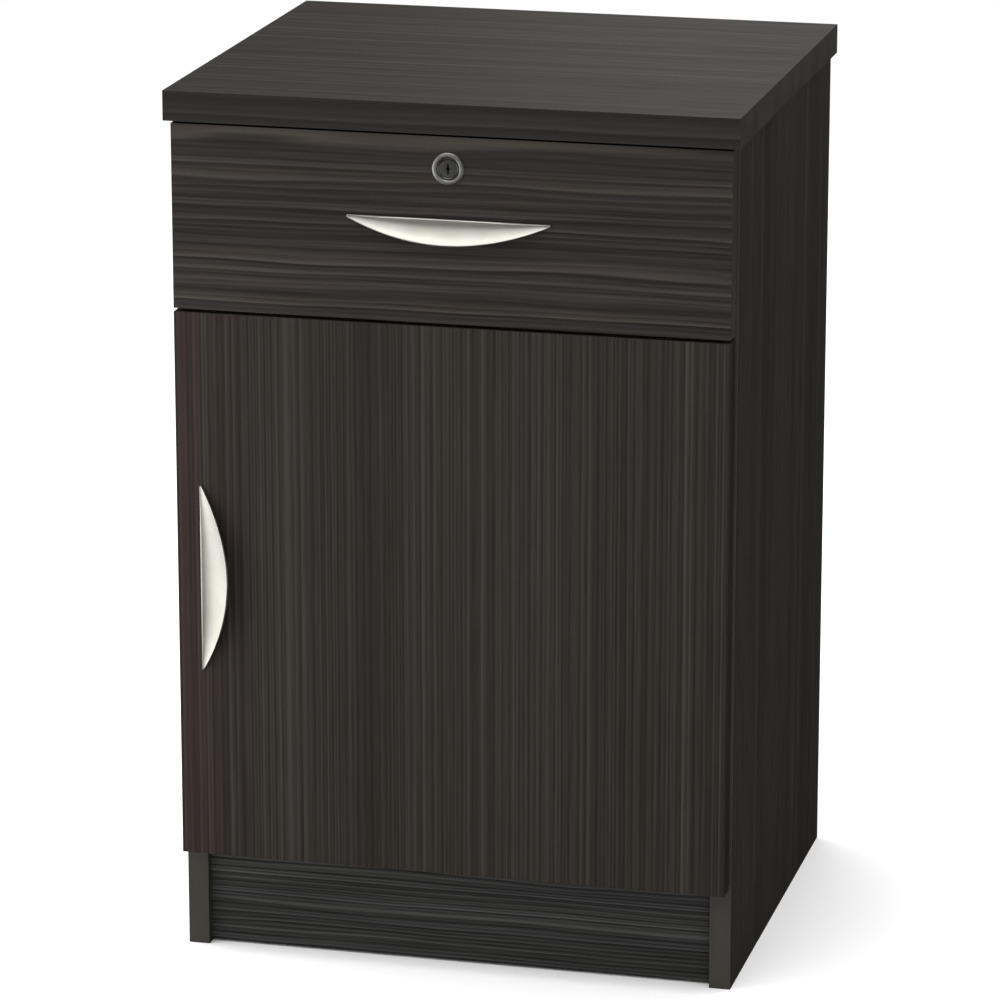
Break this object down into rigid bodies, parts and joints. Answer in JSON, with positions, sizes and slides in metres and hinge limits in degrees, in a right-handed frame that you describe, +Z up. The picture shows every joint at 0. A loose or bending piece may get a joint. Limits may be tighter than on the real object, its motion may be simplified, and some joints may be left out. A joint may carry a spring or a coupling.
{
  "type": "bedside cabinet",
  "caption": "Bedside cabinet with a lockable drawer on roller runners over a hinged-door cupboard with a shelf, crescent handles and a recessed plinth.",
  "frame": {"origin": "on the floor, at the middle of the cabinet's width and of its whole depth with the handles", "axes": "+X to the cabinet's right seen from its front, +Y to its back, +Z up"},
  "size_m": [0.48, 0.436, 0.745],
  "materials": {
    "top_laminate": "dark woodgrain laminate, satin, grain running across the width",
    "side_laminate": "dark woodgrain laminate, satin, grain running up",
    "drawer_laminate": "dark woodgrain laminate with strong pale streaks across the width",
    "door_laminate": "dark woodgrain laminate with fine upright streaks",
    "plinth_laminate": "cool dark grey woodgrain laminate",
    "edge_strip": "plain olive-grey edging strip",
    "raw_board": "plain chipboard",
    "white_board": "white foil-faced board",
    "white_steel": "white epoxy-coated sheet steel",
    "roller_nylon": "white nylon",
    "beech": "bare beech",
    "satin_metal": "satin nickel",
    "zinc_steel": "bright zinc-plated steel",
    "clear_rubber": "clear soft bumper dots"
  },
  "bodies": {
    "cabinet": {"top_panel": "top_laminate", "side_panel_left": "side_laminate", "side_panel_right": "side_laminate", "side_edgings": "edge_strip", "base_panel": "side_laminate", "divider_rail": "raw_board", "top_rail_front": "raw_board", "top_rail_back": "raw_board", "back_panel": "side_laminate", "plinth": "plinth_laminate", "rear_plinth": "plinth_laminate", "shelf": "side_laminate", "shelf_pins": "zinc_steel", "cam_bolts": "zinc_steel", "cam_discs": "zinc_steel", "wood_dowels": "beech", "top_screws": "zinc_steel", "back_screws": "zinc_steel", "cabinet_runner_left": "white_steel", "cabinet_runner_right": "white_steel", "cabinet_runner_screws": "zinc_steel", "cabinet_roller_axles": "zinc_steel", "hinge_plates": "zinc_steel", "hinge_plate_screws": "zinc_steel", "hinge_arm_upper": "zinc_steel", "hinge_arm_lower": "zinc_steel", "hinge_arm_screws": "zinc_steel", "hinge_arm_pins": "zinc_steel", "lock_strike": "zinc_steel", "lock_strike_screws": "zinc_steel", "front_bumpers": "clear_rubber"},
    "drawer": {"drawer_front": "drawer_laminate", "drawer_side_left": "white_board", "drawer_side_right": "white_board", "drawer_inner_front": "white_board", "drawer_back": "white_board", "drawer_bottom": "white_board", "drawer_front_screws": "zinc_steel", "drawer_handle": "satin_metal", "drawer_handle_screws": "zinc_steel", "drawer_runner_left": "white_steel", "drawer_runner_right": "white_steel", "drawer_runner_screws": "zinc_steel", "drawer_roller_axles": "zinc_steel", "lock_housing": "satin_metal", "lock_nut": "zinc_steel"},
    "lock": {"lock_barrel": "satin_metal", "lock_cam": "zinc_steel", "lock_cam_screw": "zinc_steel"},
    "door": {"door_panel": "door_laminate", "door_handle": "satin_metal", "door_handle_screws": "zinc_steel", "hinge_cup_upper": "zinc_steel", "hinge_cup_lower": "zinc_steel", "hinge_cup_screws": "zinc_steel", "hinge_cup_pins": "zinc_steel"},
    "hinge_links": {"hinge_link_upper": "zinc_steel", "hinge_link_lower": "zinc_steel"},
    "cabinet_rollers": {"cabinet_rollers": "roller_nylon"},
    "drawer_rollers": {"drawer_rollers": "roller_nylon"}
  },
  "joints": [
    {"name": "drawer_slide", "type": "slide", "parent": "cabinet", "child": "drawer", "axis": [0, -1, 0], "range_m": [0, 0.29]},
    {"name": "cabinet_roller_spin", "type": "hinge", "parent": "cabinet", "child": "cabinet_rollers", "pos_m": [0, -0.167, 0.58505], "axis": [1, 0, 0], "range_deg": [0, 1530]},
    {"name": "drawer_roller_spin", "type": "hinge", "parent": "drawer", "child": "drawer_rollers", "pos_m": [0, 0.149, 0.58505], "axis": [1, 0, 0], "range_deg": [0, 1530]},
    {"name": "lock_turn", "type": "hinge", "parent": "drawer", "child": "lock", "pos_m": [0, -0.205, 0.6917], "axis": [0, 1, 0], "range_deg": [0, 90]},
    {"name": "hinge_link_swing", "type": "hinge", "parent": "cabinet", "child": "hinge_links", "pos_m": [0.1915, -0.1825, 0.3245], "axis": [0, 0, 1], "range_deg": [-30, 0]},
    {"name": "door_swing", "type": "hinge", "parent": "hinge_links", "child": "door", "pos_m": [0.221, -0.19, 0.3245], "axis": [0, 0, 1], "range_deg": [0, 120]}
  ],
  "couplings": [
    {"joint": "cabinet_roller_spin", "follows": "drawer_slide", "rad_per_m": 90.909},
    {"joint": "drawer_roller_spin", "follows": "drawer_slide", "rad_per_m": 90.909},
    {"joint": "hinge_link_swing", "follows": "door_swing", "ratio": -0.25}
  ]
}
